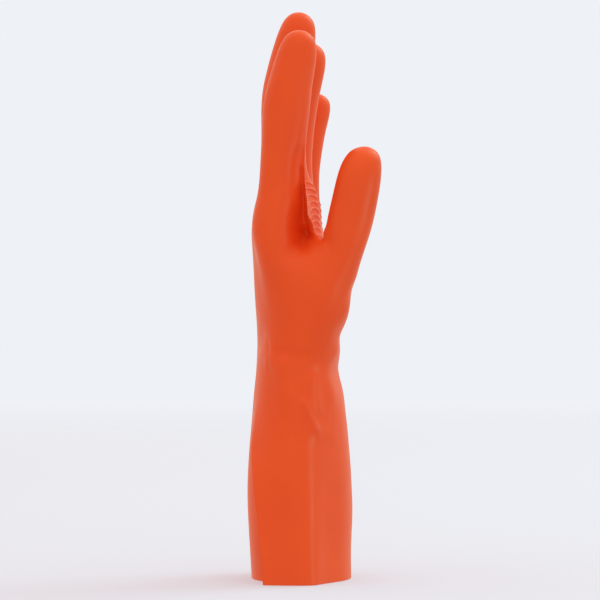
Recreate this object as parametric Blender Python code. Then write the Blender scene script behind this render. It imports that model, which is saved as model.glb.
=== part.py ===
"""A left-hand chemical-resistant glove of dipped rubber, standing as it does when worn.

Metres, +Z from the cuff up to the fingertips. The origin is the middle of the cuff's mouth, where the
forearm goes in. -Y is the thumb side, +X the palm side and -X the back of the hand.
A control cage of 26 columns runs from the cuff to the knuckles, splits into four fingers there and
opens on the thumb side for the thumb. A Subdivision Surface rounds it, and Solidify gives it its wall.
"""

import math

import bmesh
import bpy
from mathutils import Vector
from mathutils.bvhtree import BVHTree

MM = 0.001

# The one piece and its rubber.
GLOVE = "glove_shell"
RUBBER_COLOUR = (0.73, 0.082, 0.023, 1.0)
RUBBER_ROUGHNESS = 0.42
WALL = 1.0 * MM

# Lengths along the arm: cuff edge to wrist, wrist to finger crotches, and the fingers from there.
CUFF_LENGTH = 118 * MM
PALM_LENGTH = 108 * MM
INDEX_LENGTH = 82 * MM
MIDDLE_LENGTH = 94 * MM
RING_LENGTH = 81 * MM
LITTLE_LENGTH = 58 * MM

# Widths across the hand (along Y) and depths from back to palm (along X).
CUFF_WIDTH = 86 * MM
CUFF_DEPTH = 57.8 * MM
CUFF_SWELL = 3.8 * MM
WRIST_WIDTH = 74 * MM
WRIST_DEPTH = 46.6 * MM
WRIST_BACKSET = 2.7 * MM
PALM_WIDTH = 94.5 * MM
PALM_DEPTH = 30 * MM
PALM_BACKSET = 9.5 * MM
PALM_CUP = 6.5 * MM
PALM_TURN = math.radians(8.6)
FINGER_PITCH = 23.5 * MM
THENAR_RISE = 10 * MM
THUMB_WEB_RISE = 9 * MM
HEEL_RISE = 6 * MM
KNUCKLE_RISE = 3.2 * MM
PAD_RISE = 2.2 * MM

# Thickness (back to pad) and width (side to side) of each finger at its middle joint.
INDEX_THICKNESS = 24.9 * MM
MIDDLE_THICKNESS = 25.4 * MM
RING_THICKNESS = 24.6 * MM
LITTLE_THICKNESS = 20.6 * MM
FINGER_WIDTH_SHARE = 0.92

# The pleat that runs up from the cuff's edge, and the flat beside it.
PLEAT_DEPTH = 7 * MM
PLEAT_CREASE = 0.6

COLUMNS = 26
FINGER_SIDES = 8
THUMB_SIDES = 14

# One row for each finger: its crotch heights and base place are shares of the palm.
# side: base place across the palm, in pitches from its middle; low: how far its base lies below
# PALM_LENGTH, as a share of it; spread: degrees outward; lean, curl: degrees towards the palm.
FINGERS = [
    dict(name="index", side=-1.53, low=0.00, length=INDEX_LENGTH, thickness=INDEX_THICKNESS,
         spread=-5.0, lean=3.5, curl=10.0),
    dict(name="middle", side=-0.51, low=-0.005, length=MIDDLE_LENGTH, thickness=MIDDLE_THICKNESS,
         spread=-1.5, lean=1.5, curl=11.0),
    dict(name="ring", side=0.51, low=0.005, length=RING_LENGTH, thickness=RING_THICKNESS,
         spread=2.5, lean=3.5, curl=14.0),
    dict(name="little", side=1.47, low=0.045, length=LITTLE_LENGTH, thickness=LITTLE_THICKNESS,
         spread=7.0, lean=5.0, curl=14.0),
]

# Rings up a finger: up is the share of its length, thick the share of its thickness. Its curl comes in
# over CURL_SPAN of its length from CURL_START, and ACROSS_TURN is how far it turns with the palm.
FINGER_ROWS = [
    dict(up=0.11, thick=0.99),
    dict(up=0.23, thick=0.985),
    dict(up=0.36, thick=1.02),
    dict(up=0.50, thick=1.05),
    dict(up=0.64, thick=0.965),
    dict(up=0.77, thick=0.905),
    dict(up=0.885, thick=0.81),
    dict(up=0.965, thick=0.57),
]
TIP_UP = 1.012
CURL_START = 0.36
CURL_SPAN = 0.3
ACROSS_TURN = 0.7

# Rings of the thumb. out, aside, up: a ring's middle from the root, as shares of THUMB_LENGTH along X, Y
# and Z; thick, wide: shares of THUMB_THICKNESS; lean: degrees from upright towards the palm's side. The
# first ring lies THUMB_BLEND of the way from the palm's opening, and THUMB_PHASE lines its points up with
# the opening's.
THUMB_ROOT_OUT = 22.6 * MM
THUMB_ROOT = Vector((THUMB_ROOT_OUT, -0.407 * PALM_WIDTH, CUFF_LENGTH + 0.611 * PALM_LENGTH))
THUMB_LENGTH = 59 * MM
THUMB_THICKNESS = 25 * MM
THUMB_SPREAD = math.radians(15)
THUMB_BLEND = 0.5
THUMB_PHASE = 2.4
THUMB_ROWS = [
    dict(out=0.000, aside=0.000, up=0.000, thick=0.95, wide=1.04, lean=40),
    dict(out=0.031, aside=-0.053, up=0.149, thick=0.99, wide=0.99, lean=24),
    dict(out=0.071, aside=-0.093, up=0.305, thick=1.01, wide=0.96, lean=17),
    dict(out=0.108, aside=-0.127, up=0.475, thick=0.995, wide=0.95, lean=14),
    dict(out=0.143, aside=-0.156, up=0.649, thick=0.98, wide=0.93, lean=11),
    dict(out=0.175, aside=-0.178, up=0.805, thick=0.895, wide=0.85, lean=9),
    dict(out=0.207, aside=-0.192, up=0.922, thick=0.65, wide=0.61, lean=8),
]
THUMB_TIP = dict(out=0.23, aside=-0.198, up=0.998)

# Rows from the cuff's edge to the wrist. rise: share of CUFF_LENGTH; narrow: how far the way from the
# cuff's size to the wrist's; swell, lean, pleat, flat: shares of the sizes of those names; slide: degrees
# that the pleat's columns turn towards the back.
SLEEVE_ROWS = [
    dict(rise=0, narrow=0, swell=0, lean=0.07, pleat=1, flat=1, slide=-4.2),
    dict(rise=0.02, narrow=0, swell=0.03, lean=0.1, pleat=1, flat=1, slide=-4.2),
    dict(rise=0.11, narrow=0, swell=0.15, lean=0.24, pleat=0.92, flat=1, slide=-3.2),
    dict(rise=0.21, narrow=0.02, swell=0.47, lean=0.33, pleat=0.82, flat=1, slide=0),
    dict(rise=0.32, narrow=0.05, swell=0.95, lean=0.37, pleat=0.71, flat=0.95, slide=2.5),
    dict(rise=0.42, narrow=0.1, swell=1, lean=0.48, pleat=0.66, flat=0.95, slide=6.5),
    dict(rise=0.53, narrow=0.17, swell=0.97, lean=0.54, pleat=0.54, flat=0.9, slide=12),
    dict(rise=0.63, narrow=0.28, swell=0.87, lean=0.6, pleat=0.42, flat=0.8, slide=19),
    dict(rise=0.73, narrow=0.45, swell=0.68, lean=0.57, pleat=0.25, flat=0.55, slide=22),
    dict(rise=0.82, narrow=0.62, swell=0.53, lean=0.67, pleat=0.07, flat=0.3, slide=23),
    dict(rise=0.91, narrow=0.8, swell=0.26, lean=0.83, pleat=0, flat=0.1, slide=20),
    dict(rise=1, narrow=1, swell=0, lean=1, pleat=0, flat=0, slide=14),
]

# Rows from the wrist to the finger roots. rise: share of PALM_LENGTH; hand: how far the section has
# turned from the wrist's oval into the hand's; thenar, web, knuckle, pad, groove: shares of those forms.
PALM_ROWS = [
    dict(rise=0.095, hand=0.02, broad=0.02, swell=-0.2, thenar=0.48, web=0, heel=0,
         knuckle=0, pad=0, groove=0, slide=9),
    dict(rise=0.19, hand=0.07, broad=0.09, swell=-0.2, thenar=0.9, web=0, heel=0.25,
         knuckle=0, pad=0, groove=0, slide=6),
    dict(rise=0.29, hand=0.19, broad=0.23, swell=0.25, thenar=1.45, web=0, heel=0.6,
         knuckle=0.3, pad=0, groove=0, slide=3),
    dict(rise=0.4, hand=0.37, broad=0.43, swell=0.65, thenar=1.4, web=0, heel=0.9,
         knuckle=1, pad=0, groove=0, slide=1),
    dict(rise=0.53, hand=0.62, broad=0.65, swell=0.9, thenar=0.8, web=0.3, heel=1,
         knuckle=0.9, pad=0.3, groove=0, slide=0),
    dict(rise=0.675, hand=0.9, broad=0.88, swell=0.6, thenar=0.05, web=0.33, heel=0.75,
         knuckle=1.1, pad=0.8, groove=0, slide=0),
    dict(rise=0.74, hand=0.97, broad=0.95, swell=0, thenar=0, web=0.05, heel=0.35,
         knuckle=1.05, pad=1, groove=0, slide=0),
    dict(rise=0.8, hand=1, broad=1, swell=0, thenar=0, web=0, heel=0.05,
         knuckle=0.6, pad=1, groove=0, slide=0),
    dict(rise=0.86, hand=1, broad=1, swell=0, thenar=0, web=0, heel=0.05,
         knuckle=0.15, pad=1, groove=0.15, slide=0),
    dict(rise=0.935, hand=1, broad=1, swell=0, thenar=0, web=0, heel=0,
         knuckle=0, pad=0.9, groove=1, slide=0),
]

# Outward push of the cuff's columns, as shares of PLEAT_DEPTH: the pleat on the back's thumb side, and
# the flat panels on the thumb's side and beside it.
PLEAT_PUSH = {2: 0.30, 3: 1.00, 4: -0.93, 5: -0.42, 6: -0.12}
FLAT_PUSH = {1: -0.04, 0: -0.1, 25: 0.0, 24: -0.62, 23: -0.85, 22: -0.70, 21: -0.40, 20: -0.15}
PLEAT_COLUMN = 3

# How many columns round from the pleat turn with it, towards the back and towards the thumb's side.
PLEAT_SPAN_BACK = 7.5
PLEAT_SPAN_SIDE = 5.5

# Outward pushes: the thenar's below the thumb's root, the web's between thumb and index finger, the
# heel's, and the pad's below the middle and ring fingers.
THENAR_PUSH = {
    19: (0.05, 0.0), 20: (0.15, 0.05), 21: (0.40, 0.10), 22: (0.75, 0.0),
    23: (1.0, -0.20), 24: (0.95, -0.45), 25: (0.60, -0.60), 0: (0.15, -0.35),
}
WEB_PUSH = {23: 0.30, 24: 0.80, 25: 1.0, 0: 0.35}
HEEL_PUSH = {14: 0.45, 15: 0.85, 16: 1.0, 17: 0.95, 18: 0.7, 19: 0.4, 20: 0.2}
PAD_PUSH = {23: 0.3, 22: 0.8, 21: 1.0, 20: 1.0, 19: 0.95, 18: 0.8, 17: 0.5, 16: 0.1, 15: -0.15, 14: -0.2}

# The thumb's opening in the palm, as columns and rows of PALM_ROWS.
THUMB_COLUMNS = (21, 22, 23, 24, 25)
THUMB_LOW_ROW, THUMB_HIGH_ROW = 2, 5

# The crotch between two fingers: the web's rise over the finger's base loop, and its width. The hand's
# section dips by GROOVE_SHARE between fingers and by EDGE_ROUNDING of that at its two edges all the way,
# and its knuckles fall to KNUCKLE_SIDE_SHARE beside each finger's middle.
WEB_RISE = 12 * MM
WEB_GAP = 2.4 * MM
GROOVE_SHARE = 0.24
EDGE_ROUNDING = 0.75
KNUCKLE_SIDE_SHARE = 0.4

# Soft folds and dents in the worn rubber, each along a line on one side of the hand. across: the line's
# two ends, as shares of WRIST_DEPTH on the thumb's and little finger's sides and of WRIST_WIDTH on the
# other two; up: their heights as shares of CUFF_LENGTH; rise: shares of FOLD_DEPTH outward, or inward
# when negative; reach: the fold's half width as a share of WRIST_DEPTH.
FOLD_DEPTH = 1.0 * MM
FOLD_SIDES = {
    "thumb": Vector((0, -1, 0)), "little": Vector((0, 1, 0)),
    "palm": Vector((1, 0, 0)), "back": Vector((-1, 0, 0)),
}
FOLDS = [
    dict(side="thumb", across=(-0.2, 0.0), up=(1.085, 1.075), rise=-0.7, reach=0.09),
    dict(side="thumb", across=(0.15, 0.06), up=(1.095, 0.985), rise=-0.7, reach=0.09),
    dict(side="thumb", across=(-0.39, -0.21), up=(1.045, 1.015), rise=1, reach=0.1),
    dict(side="thumb", across=(-0.25, -0.15), up=(0.99, 0.88), rise=0.8, reach=0.1),
    dict(side="thumb", across=(-0.38, -0.32), up=(0.915, 0.845), rise=-0.5, reach=0.13),
    dict(side="thumb", across=(0.02, 0.17), up=(0.84, 0.71), rise=0.8, reach=0.09),
    dict(side="thumb", across=(0.21, 0.23), up=(0.9, 0.83), rise=-0.7, reach=0.11),
    dict(side="thumb", across=(0.31, 0.36), up=(1, 0.89), rise=0.7, reach=0.13),
    dict(side="thumb", across=(-0.02, 0.06), up=(1.51, 1.27), rise=-0.8, reach=0.15),
    dict(side="palm", across=(-0.42, -0.27), up=(1.17, 1.145), rise=-0.5, reach=0.11),
    dict(side="palm", across=(-0.45, -0.3), up=(1.27, 1.235), rise=0.9, reach=0.13),
    dict(side="palm", across=(-0.47, -0.35), up=(1.38, 1.365), rise=-0.8, reach=0.11),
    dict(side="palm", across=(-0.05, 0.19), up=(1.12, 1.1), rise=-0.5, reach=0.11),
    dict(side="palm", across=(-0.3, 0.1), up=(1.085, 1.075), rise=1.2, reach=0.13),
    dict(side="palm", across=(-0.3, 0.15), up=(0.985, 0.955), rise=-0.8, reach=0.16),
    dict(side="palm", across=(0.24, 0.41), up=(1.01, 0.915), rise=-1, reach=0.15),
    dict(side="palm", across=(-0.03, 0.14), up=(0.95, 0.845), rise=0.8, reach=0.15),
    dict(side="back", across=(0.11, 0.32), up=(0.985, 1.05), rise=-1.1, reach=0.13),
    dict(side="back", across=(-0.27, -0.08), up=(1.155, 1.1), rise=-0.8, reach=0.13),
    dict(side="little", across=(-0.21, 0.17), up=(1.035, 1.085), rise=-1.2, reach=0.12),
    dict(side="little", across=(0, 0.21), up=(0.93, 0.82), rise=1, reach=0.13),
]

# The skin between the thumb and the index finger: its free edge stands up, a hollow lies before it on
# the finger's root, and the palm's pad beside it is round. low, high: the ends of a line, as shares of THUMB_THICKNESS from THUMB_ROOT; push:
# along X, Y and Z, as shares of FOLD_DEPTH; reach: a share of THUMB_THICKNESS.
WEB_FOLDS = [
    dict(low=(-0.5, 0.03, 0.26), high=(-0.73, -0.02, 0.56), push=(1.9, 0, 2.0), reach=0.16),
    dict(low=(-0.42, 0.02, 0.28), high=(-0.35, 0.08, 0.32), push=(0, 0, 2.0), reach=0.15),
    dict(low=(-1.0, -0.2, 2.1), high=(-0.97, -0.2, 0.55), push=(0, 2.6, 0), reach=0.21),
    dict(low=(-0.92, -0.26, 0.46), high=(-0.7, -0.3, 0.37), push=(0, 3.6, 0), reach=0.18),
    dict(low=(-1.12, -0.35, 0.02), high=(-0.95, -0.3, 0.42), push=(0, 1.6, 0), reach=0.24),
    dict(low=(-1.04, -0.35, 0.2), high=(-1.0, -0.3, 1.4), push=(0, 2.6, 0), reach=0.5),
    dict(low=(-0.93, -0.35, 0.18), high=(-0.9, -0.3, 0.75), push=(0, 5.5, 0), reach=0.27),
    dict(low=(-0.88, -0.3, 0.75), high=(-0.86, -0.28, 1.3), push=(0, 2.8, 0), reach=0.17),
    dict(low=(-0.62, 1.05, 0.1), high=(-0.68, 1.05, 1.35), push=(3.4, 0, 0), reach=0.3),
]

# Raised grip ribs in the palm: wavy lines one above the other, RIB_ARC high, with a crest at RIB_CREST
# and at every RIB_WAVE from it. They run over RIB_REACH on both sides of RIB_MIDDLE, as far as the palm
# faces forward by RIB_FACING, and stay RIB_THUMB_GAP behind the thumb's root.
RIB_COUNT = 14
RIB_TOP = CUFF_LENGTH + 0.972 * PALM_LENGTH
RIB_PITCH = 3.65 * MM
RIB_HEIGHT = 0.5 * MM
RIB_WIDTH = 1.6 * MM
RIB_ROOT = 0.52 * WALL
RIB_ARC = 3.6 * MM
RIB_WAVE = 0.24 * PALM_WIDTH
RIB_CREST = -0.2 * PALM_WIDTH
RIB_MIDDLE = 0.05 * PALM_WIDTH
RIB_REACH = 0.46 * PALM_WIDTH
RIB_THUMB_GAP = 3.6 * MM
RIB_FACING = 0.6
RIB_END_SHARE = 0.35
RIB_CREST_SHARE = 0.3
RIB_STEPS = 27

# A distance from the middle of the arm that is outside the glove on every side.
FAR_OUTSIDE = 2 * PALM_WIDTH

# The share of the sheet's triangles that stay when its flat parts are thinned out.
THINNING = 0.48


def mix(a, b, share):
    """The value that lies a share of the way from a to b."""
    return a + (b - a) * share


def ring_gain(sides):
    """How much larger a cage ring is than the round surface that it makes."""
    return 3 / (2 + math.cos(2 * math.pi / sides))


def column_angle(column, slide):
    """Angle of a column round the oval, 0 at the thumb side and 90 at the back, in radians."""
    angle = 360 / COLUMNS * column
    reach = column - PLEAT_COLUMN if column < COLUMNS / 2 else column - COLUMNS - PLEAT_COLUMN
    span = PLEAT_SPAN_BACK if reach > 0 else PLEAT_SPAN_SIDE
    share = max(0.0, 1 - abs(reach) / span)
    return math.radians(angle + slide * share * share * (3 - 2 * share))


def oval_point(column, width, depth, centre, slide, push):
    """A column's place on the forearm's oval, pushed outward by push."""
    angle = column_angle(column, slide)
    x, y = -math.sin(angle) * depth / 2, -math.cos(angle) * width / 2
    outward = Vector((x / depth, y / width)).normalized()
    return Vector((centre + x + outward.x * push, y + outward.y * push))


def hand_middle(y):
    """X of the hand's middle surface at y: turned towards the thumb side and cupped."""
    return math.tan(PALM_TURN) * y + PALM_CUP * (2 * y / PALM_WIDTH) ** 2 - PALM_BACKSET


def finger_base_y(finger):
    """Y of a finger's middle at its base."""
    return finger["side"] * FINGER_PITCH


def finger_of(column):
    """The finger that a column runs into, its place on it (-1, 0, 1) and the sign of its X side."""
    if 1 <= column <= 12:
        return (column - 1) // 3, (column - 1) % 3 - 1, -1
    return (25 - column) // 3, (25 - column) % 3 - 1, 1


def hand_point(column, groove, knuckle):
    """A column's place in the hand's own section."""
    if column in (0, 13):
        finger = FINGERS[0 if column == 0 else 3]
        half = finger["thickness"] * FINGER_WIDTH_SHARE / 2 * ring_gain(FINGER_SIDES)
        y = finger_base_y(finger) + (-half if column == 0 else half)
        return Vector((hand_middle(y), y))
    number, place, sign = finger_of(column)
    finger = FINGERS[number]
    gain = ring_gain(FINGER_SIDES)
    y = finger_base_y(finger) + place * finger["thickness"] * FINGER_WIDTH_SHARE / 2 * gain * math.sqrt(0.5)
    half = PALM_DEPTH / 2 * finger["thickness"] / MIDDLE_THICKNESS
    half = mix(half, finger["thickness"] / 2 * gain, groove)
    edge = place * (-1 if number == 0 else 1 if number == 3 else 0)
    if place:
        half *= 1 - GROOVE_SHARE * max(groove, EDGE_ROUNDING if edge == 1 else 0.0)
    if sign < 0:
        half += KNUCKLE_RISE * knuckle * (1.0 if place == 0 else KNUCKLE_SIDE_SHARE)
    return Vector((hand_middle(y) + sign * half, y))


def sleeve_row(row):
    """The 26 points of a row between the cuff's edge and the wrist."""
    width = mix(CUFF_WIDTH, WRIST_WIDTH, row["narrow"])
    depth = mix(CUFF_DEPTH, WRIST_DEPTH, row["narrow"]) + CUFF_SWELL * row["swell"]
    points = []
    for column in range(COLUMNS):
        push = PLEAT_DEPTH * row["pleat"] * PLEAT_PUSH.get(column, 0)
        push += PLEAT_DEPTH * row["flat"] * FLAT_PUSH.get(column, 0)
        at = oval_point(column, width, depth, -WRIST_BACKSET * row["lean"], row["slide"], push)
        points.append(Vector((at.x, at.y, CUFF_LENGTH * row["rise"])))
    return points


def palm_row(row):
    """The 26 points of a row between the wrist and the finger roots."""
    width = mix(WRIST_WIDTH, PALM_WIDTH, row["broad"])
    depth = WRIST_DEPTH + CUFF_SWELL * row["swell"]
    points = []
    for column in range(COLUMNS):
        oval = oval_point(column, width, depth, -WRIST_BACKSET, row["slide"], 0)
        at = oval.lerp(hand_point(column, row["groove"], row["knuckle"]), row["hand"])
        push = Vector(THENAR_PUSH.get(column, (0, 0))) * THENAR_RISE * row["thenar"]
        push.x += THUMB_WEB_RISE * row["web"] * WEB_PUSH.get(column, 0)
        push.x += HEEL_RISE * row["heel"] * (1 - row["hand"] * 0.4) * HEEL_PUSH.get(column, 0)
        push.x += PAD_RISE * row["pad"] * PAD_PUSH.get(column, 0)
        low = 0.0
        if row["groove"] == 1.0 and column not in (0, 13):
            low = FINGERS[finger_of(column)[0]]["low"]
        elif column == 13:
            low = FINGERS[3]["low"] * row["groove"]
        z = CUFF_LENGTH + PALM_LENGTH * (row["rise"] - low)
        points.append(Vector((at.x + push.x, at.y + push.y, z)))
    return points


def finger_frame(finger, share, at):
    """The finger's own directions at a share of its length: along it, across it and to its pad."""
    bend = min(1.0, max(0.0, (share - CURL_START) / CURL_SPAN))
    towards_palm = math.radians(finger["lean"] + finger["curl"] * bend * bend * (3 - 2 * bend))
    spread = math.radians(finger["spread"])
    along = Vector((math.sin(towards_palm), math.sin(spread), math.cos(towards_palm) * math.cos(spread)))
    along.normalize()
    slope = (hand_middle(at + MM) - hand_middle(at - MM)) / (2 * MM)
    across = Vector((slope * ACROSS_TURN, 1, 0))
    across -= along * across.dot(along)
    across.normalize()
    return along, across, across.cross(along)


def finger_ring(centre, across, pad, thickness, width):
    """The eight points of a ring, from its low-Y side over the back to the other side and the pad."""
    gain = ring_gain(FINGER_SIDES) / 2
    points = []
    for step in range(FINGER_SIDES):
        angle = 2 * math.pi * step / FINGER_SIDES
        side, back = math.cos(angle) * width * gain, math.sin(angle) * thickness * gain
        points.append(centre - across * side - pad * back)
    return points


def add_ring(mesh, points):
    """New vertices at the points, in their order."""
    return [mesh.verts.new(point) for point in points]


def bridge(mesh, low, high):
    """Quads between two closed rings with the same number of points."""
    for step in range(len(low)):
        after = (step + 1) % len(low)
        mesh.faces.new((low[step], low[after], high[after], high[step]))


def cap(mesh, ring, tip):
    """Quads from a ring with an even number of points to one point."""
    centre = mesh.verts.new(tip)
    for step in range(0, len(ring), 2):
        mesh.faces.new((ring[step], ring[step + 1], ring[(step + 2) % len(ring)], centre))


def build_finger(mesh, number, base):
    """Rings from a finger's base loop to its tip."""
    finger = FINGERS[number]
    y = finger_base_y(finger)
    root = Vector((hand_middle(y), y, CUFF_LENGTH + PALM_LENGTH * (1 - finger["low"])))
    before, ring, at = 0.0, base, root
    for row in FINGER_ROWS:
        along, across, pad = finger_frame(finger, (before + row["up"]) / 2, y)
        at = at + along * (finger["length"] * (row["up"] - before))
        thickness = finger["thickness"] * row["thick"]
        points = finger_ring(at, across, pad, thickness, thickness * FINGER_WIDTH_SHARE)
        after = add_ring(mesh, points)
        bridge(mesh, ring, after)
        before, ring = row["up"], after
    along, across, pad = finger_frame(finger, 1.0, y)
    cap(mesh, ring, at + along * (finger["length"] * (TIP_UP - before)))


def build_fingers(mesh, top):
    """The webs between the fingers, and the fingers, from the palm's top row."""
    sides = []
    for number, finger in enumerate(FINGERS):
        y = finger_base_y(finger)
        half = finger["thickness"] * FINGER_WIDTH_SHARE / 2 * ring_gain(FINGER_SIDES)
        sides.append([y - half, y + half])
    webs = []
    for number in range(3):
        middle = (sides[number][1] + sides[number + 1][0]) / 2
        low = (FINGERS[number]["low"] + FINGERS[number + 1]["low"]) / 2
        z = CUFF_LENGTH + PALM_LENGTH * (PALM_ROWS[-1]["rise"] - low) + WEB_RISE
        ends = [middle - WEB_GAP / 2, middle + WEB_GAP / 2]
        webs.append([mesh.verts.new(Vector((hand_middle(y), y, z))) for y in ends])
    for number in range(3):
        back, pad = 3 * number + 3, 23 - 3 * number
        left, right = webs[number]
        mesh.faces.new((top[back], top[back + 1], right, left))
        mesh.faces.new((left, right, top[pad - 1], top[pad]))
    for number in range(4):
        back, pad = 3 * number + 1, 25 - 3 * number
        low_side = top[0] if number == 0 else webs[number - 1][1]
        high_side = top[13] if number == 3 else webs[number][0]
        base = [low_side, *top[back:back + 3], high_side, top[pad - 2], top[pad - 1], top[pad]]
        build_finger(mesh, number, base)


def thumb_point(row):
    """The middle of one of the thumb's rings."""
    return THUMB_ROOT + Vector((row["out"], row["aside"], row["up"])) * THUMB_LENGTH


def thumb_ring(row):
    """The points of a ring of the thumb, from its outer thumb-side corner round by the palm."""
    reach = THUMB_THICKNESS / 2 * ring_gain(THUMB_SIDES)
    lean = math.radians(row["lean"])
    along = Vector((math.sin(lean), 0, math.cos(lean))) * math.cos(THUMB_SPREAD)
    along.y = -math.sin(THUMB_SPREAD)
    out = Vector((1, 0, 0)) - along * along.x
    out.normalize()
    across = along.cross(out)
    points = []
    for step in range(THUMB_SIDES):
        angle = 2 * math.pi * (step - THUMB_PHASE) / THUMB_SIDES
        points.append(thumb_point(row) + out * (math.cos(angle) * reach * row["thick"])
                      + across * (math.sin(angle) * reach * row["wide"]))
    return points


def build_thumb(mesh, rows):
    """Rings from the thumb's opening to its tip. rows are the palm's rows of vertices."""
    low, high = rows[THUMB_LOW_ROW], rows[THUMB_HIGH_ROW]
    first, last = THUMB_COLUMNS[0], THUMB_COLUMNS[-1]
    between = range(THUMB_LOW_ROW + 1, THUMB_HIGH_ROW)
    ring = [low[c] for c in reversed(THUMB_COLUMNS)]
    ring += [rows[r][first] for r in between]
    ring += [high[c] for c in THUMB_COLUMNS]
    ring += [rows[r][last] for r in reversed(between)]
    rings = [thumb_ring(row) for row in THUMB_ROWS]
    rings.insert(0, [edge.co.lerp(point, THUMB_BLEND) for edge, point in zip(ring, rings[0])])
    for points in rings:
        after = add_ring(mesh, points)
        bridge(mesh, ring, after)
        ring = after
    cap(mesh, ring, thumb_point(THUMB_TIP))


def crease_pleat(mesh, rows):
    """Sharpens the pleat's crest where it leaves the cuff's edge."""
    crease = mesh.edges.layers.float.new("crease_edge")
    for low, high, row in zip(rows, rows[1:], SLEEVE_ROWS):
        edge = mesh.edges.get((low[PLEAT_COLUMN], high[PLEAT_COLUMN]))
        edge[crease] = PLEAT_CREASE * row["pleat"] ** 0.5


def build_cage():
    """The glove's control cage as a bmesh: one open surface, its mouth at the cuff's edge."""
    mesh = bmesh.new()
    sleeve = [add_ring(mesh, sleeve_row(row)) for row in SLEEVE_ROWS]
    palm = [add_ring(mesh, palm_row(row)) for row in PALM_ROWS]
    rows = sleeve + palm
    hole_rows = range(len(sleeve) + THUMB_LOW_ROW, len(sleeve) + THUMB_HIGH_ROW)
    for number in range(len(rows) - 1):
        for column in range(COLUMNS):
            if number in hole_rows and column in THUMB_COLUMNS[:-1]:
                continue
            after = (column + 1) % COLUMNS
            mesh.faces.new((rows[number][column], rows[number][after],
                            rows[number + 1][after], rows[number + 1][column]))
    build_fingers(mesh, palm[-1])
    build_thumb(mesh, palm)
    crease_pleat(mesh, sleeve)
    inside = [v for v in mesh.verts if not v.link_faces]
    bmesh.ops.delete(mesh, geom=inside, context="VERTS")
    bmesh.ops.recalc_face_normals(mesh, faces=mesh.faces)
    return mesh


def fold_lines(tree):
    """The folds as lines with an outward rise or a push, those on the sides laid on the sheet."""
    lines = []
    for fold in FOLDS:
        side = FOLD_SIDES[fold["side"]]
        ends = []
        for across, up in zip(fold["across"], fold["up"]):
            z = up * CUFF_LENGTH
            at = Vector((0, across * WRIST_WIDTH, z)) if side.x else Vector((across * WRIST_DEPTH, 0, z))
            hit, _, _, _ = tree.ray_cast(at + side * FAR_OUTSIDE, -side)
            ends.append(hit)
        rise = fold["rise"] * FOLD_DEPTH
        lines.append((ends[0], ends[1], rise, Vector((0, 0, 0)), fold["reach"] * WRIST_DEPTH))
    for fold in WEB_FOLDS:
        low, high = (THUMB_ROOT + Vector(fold[end]) * THUMB_THICKNESS for end in ("low", "high"))
        lines.append((low, high, 0.0, Vector(fold["push"]) * FOLD_DEPTH, fold["reach"] * THUMB_THICKNESS))
    return lines


def fold_shift(point, normal, lines):
    """How the folds move a point of the sheet."""
    total = Vector((0, 0, 0))
    for low, high, rise, push, reach in lines:
        span = high - low
        share = min(1.0, max(0.0, (point - low).dot(span) / span.length_squared))
        away = (point - low - span * share).length / reach
        if away < 3:
            total += (normal * rise + push) * math.exp(-away * away)
    return total


def surface_tree(mesh):
    """A search tree over a mesh's faces."""
    copy = bmesh.new()
    copy.from_mesh(mesh)
    tree = BVHTree.FromBMesh(copy)
    copy.free()
    return tree


def rounded_sheet():
    """The cage as a smooth open sheet with its folds, as a mesh."""
    mesh = bpy.data.meshes.new("cage")
    cage = build_cage()
    cage.to_mesh(mesh)
    cage.free()
    holder = bpy.data.objects.new("cage", mesh)
    bpy.context.scene.collection.objects.link(holder)
    rounding = holder.modifiers.new("round", "SUBSURF")
    rounding.levels = rounding.render_levels = 1
    graph = bpy.context.evaluated_depsgraph_get()
    sheet = bpy.data.meshes.new_from_object(holder.evaluated_get(graph))
    bpy.data.objects.remove(holder, do_unlink=True)
    bpy.data.meshes.remove(mesh)
    lines = fold_lines(surface_tree(sheet))
    normals = [vertex.normal.copy() for vertex in sheet.vertices]
    for vertex, normal in zip(sheet.vertices, normals):
        vertex.co += fold_shift(vertex.co, normal, lines)
    sheet.name = GLOVE
    return sheet


def rib_line(number, tree):
    """Points and outward directions along one rib, where the palm's face is open enough for it."""
    runs = [[]]
    for step in range(RIB_STEPS):
        y = RIB_MIDDLE + RIB_REACH * (2 * step / (RIB_STEPS - 1) - 1)
        drop = (1 - math.cos(math.tau * (y - RIB_CREST) / RIB_WAVE)) / 2
        z = RIB_TOP - RIB_PITCH * number - RIB_ARC * drop
        hit, normal, _, _ = tree.ray_cast(Vector((FAR_OUTSIDE, y, z)), Vector((-1, 0, 0)))
        if hit and normal.x > RIB_FACING and hit.x < THUMB_ROOT.x - RIB_THUMB_GAP:
            runs[-1].append((hit, normal))
        elif runs[-1]:
            runs.append([])
    longest = max(runs, key=len)
    return longest if len(longest) > 2 else []


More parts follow.
